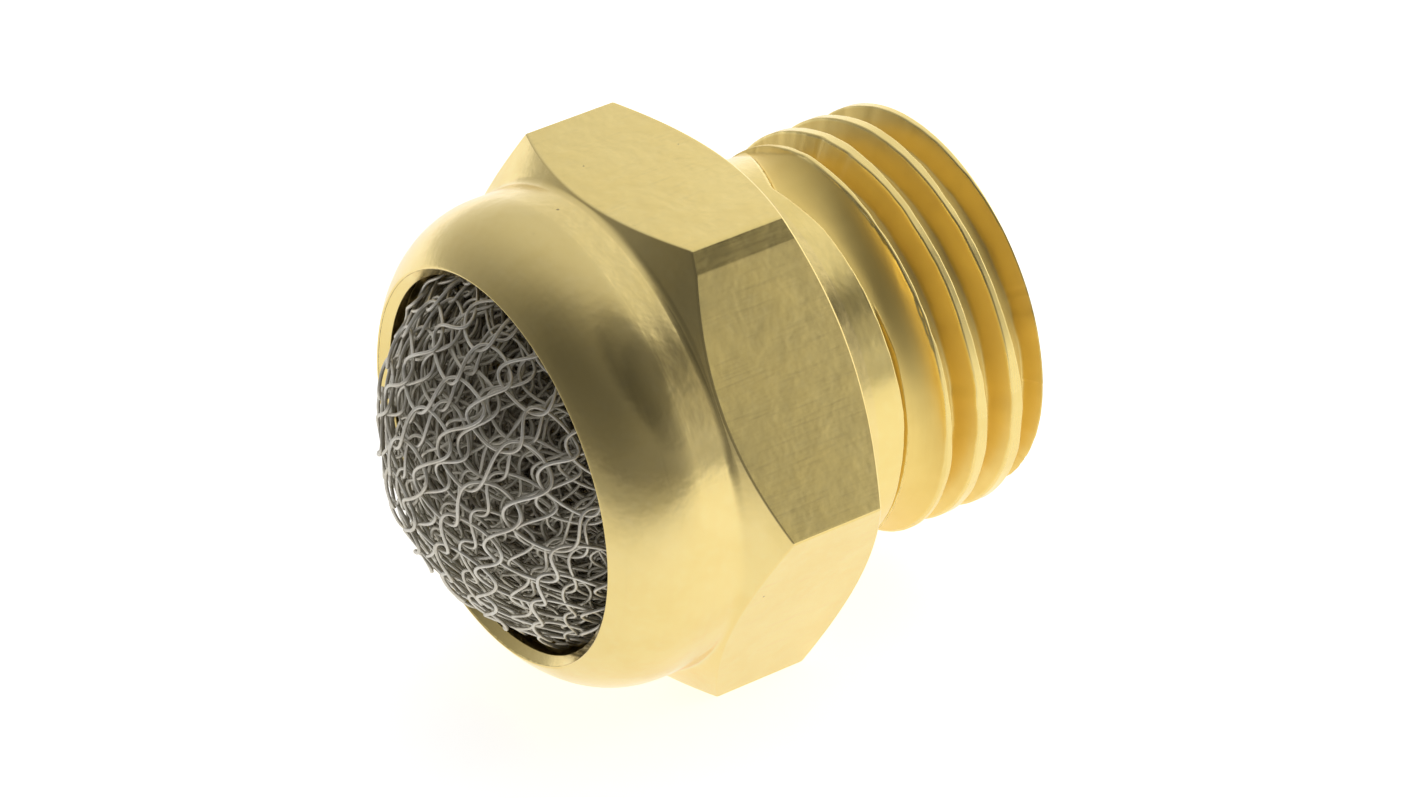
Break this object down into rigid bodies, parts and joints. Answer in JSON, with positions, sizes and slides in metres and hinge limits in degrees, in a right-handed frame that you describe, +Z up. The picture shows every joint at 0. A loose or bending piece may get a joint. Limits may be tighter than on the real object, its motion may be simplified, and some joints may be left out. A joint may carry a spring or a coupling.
{
  "type": "pneumatic muffler",
  "caption": "Brass hexagon-bodied exhaust muffler with a parallel pipe thread and a domed knitted-wire plug held in a rolled collar.",
  "frame": {"origin": "on the thread axis, in the plane of the ring-shaped sealing face behind the hexagon, where the inlet bore's mount point also lies", "axes": "+Y along the thread axis, out of the threaded end; +Z up, the normal of the hexagon flat opposite the one the muffler lies on; +X to the right when looking along +Y, through two of the hexagon's corners"},
  "size_m": [0.0184, 0.0194, 0.016],
  "materials": {
    "brass_body": "turned and cut brass bar, satin with fine tool lines",
    "steel_knit": "drawn stainless wire, bright on top of each loop",
    "steel_knit_inner": "drawn stainless wire, darker inside the plug"
  },
  "bodies": {
    "root": {"body": "brass_body", "knit_outer": "steel_knit", "knit_second": "steel_knit", "knit_third": "steel_knit", "knit_fourth": "steel_knit_inner", "knit_core": "steel_knit_inner"}
  },
  "joints": []
}
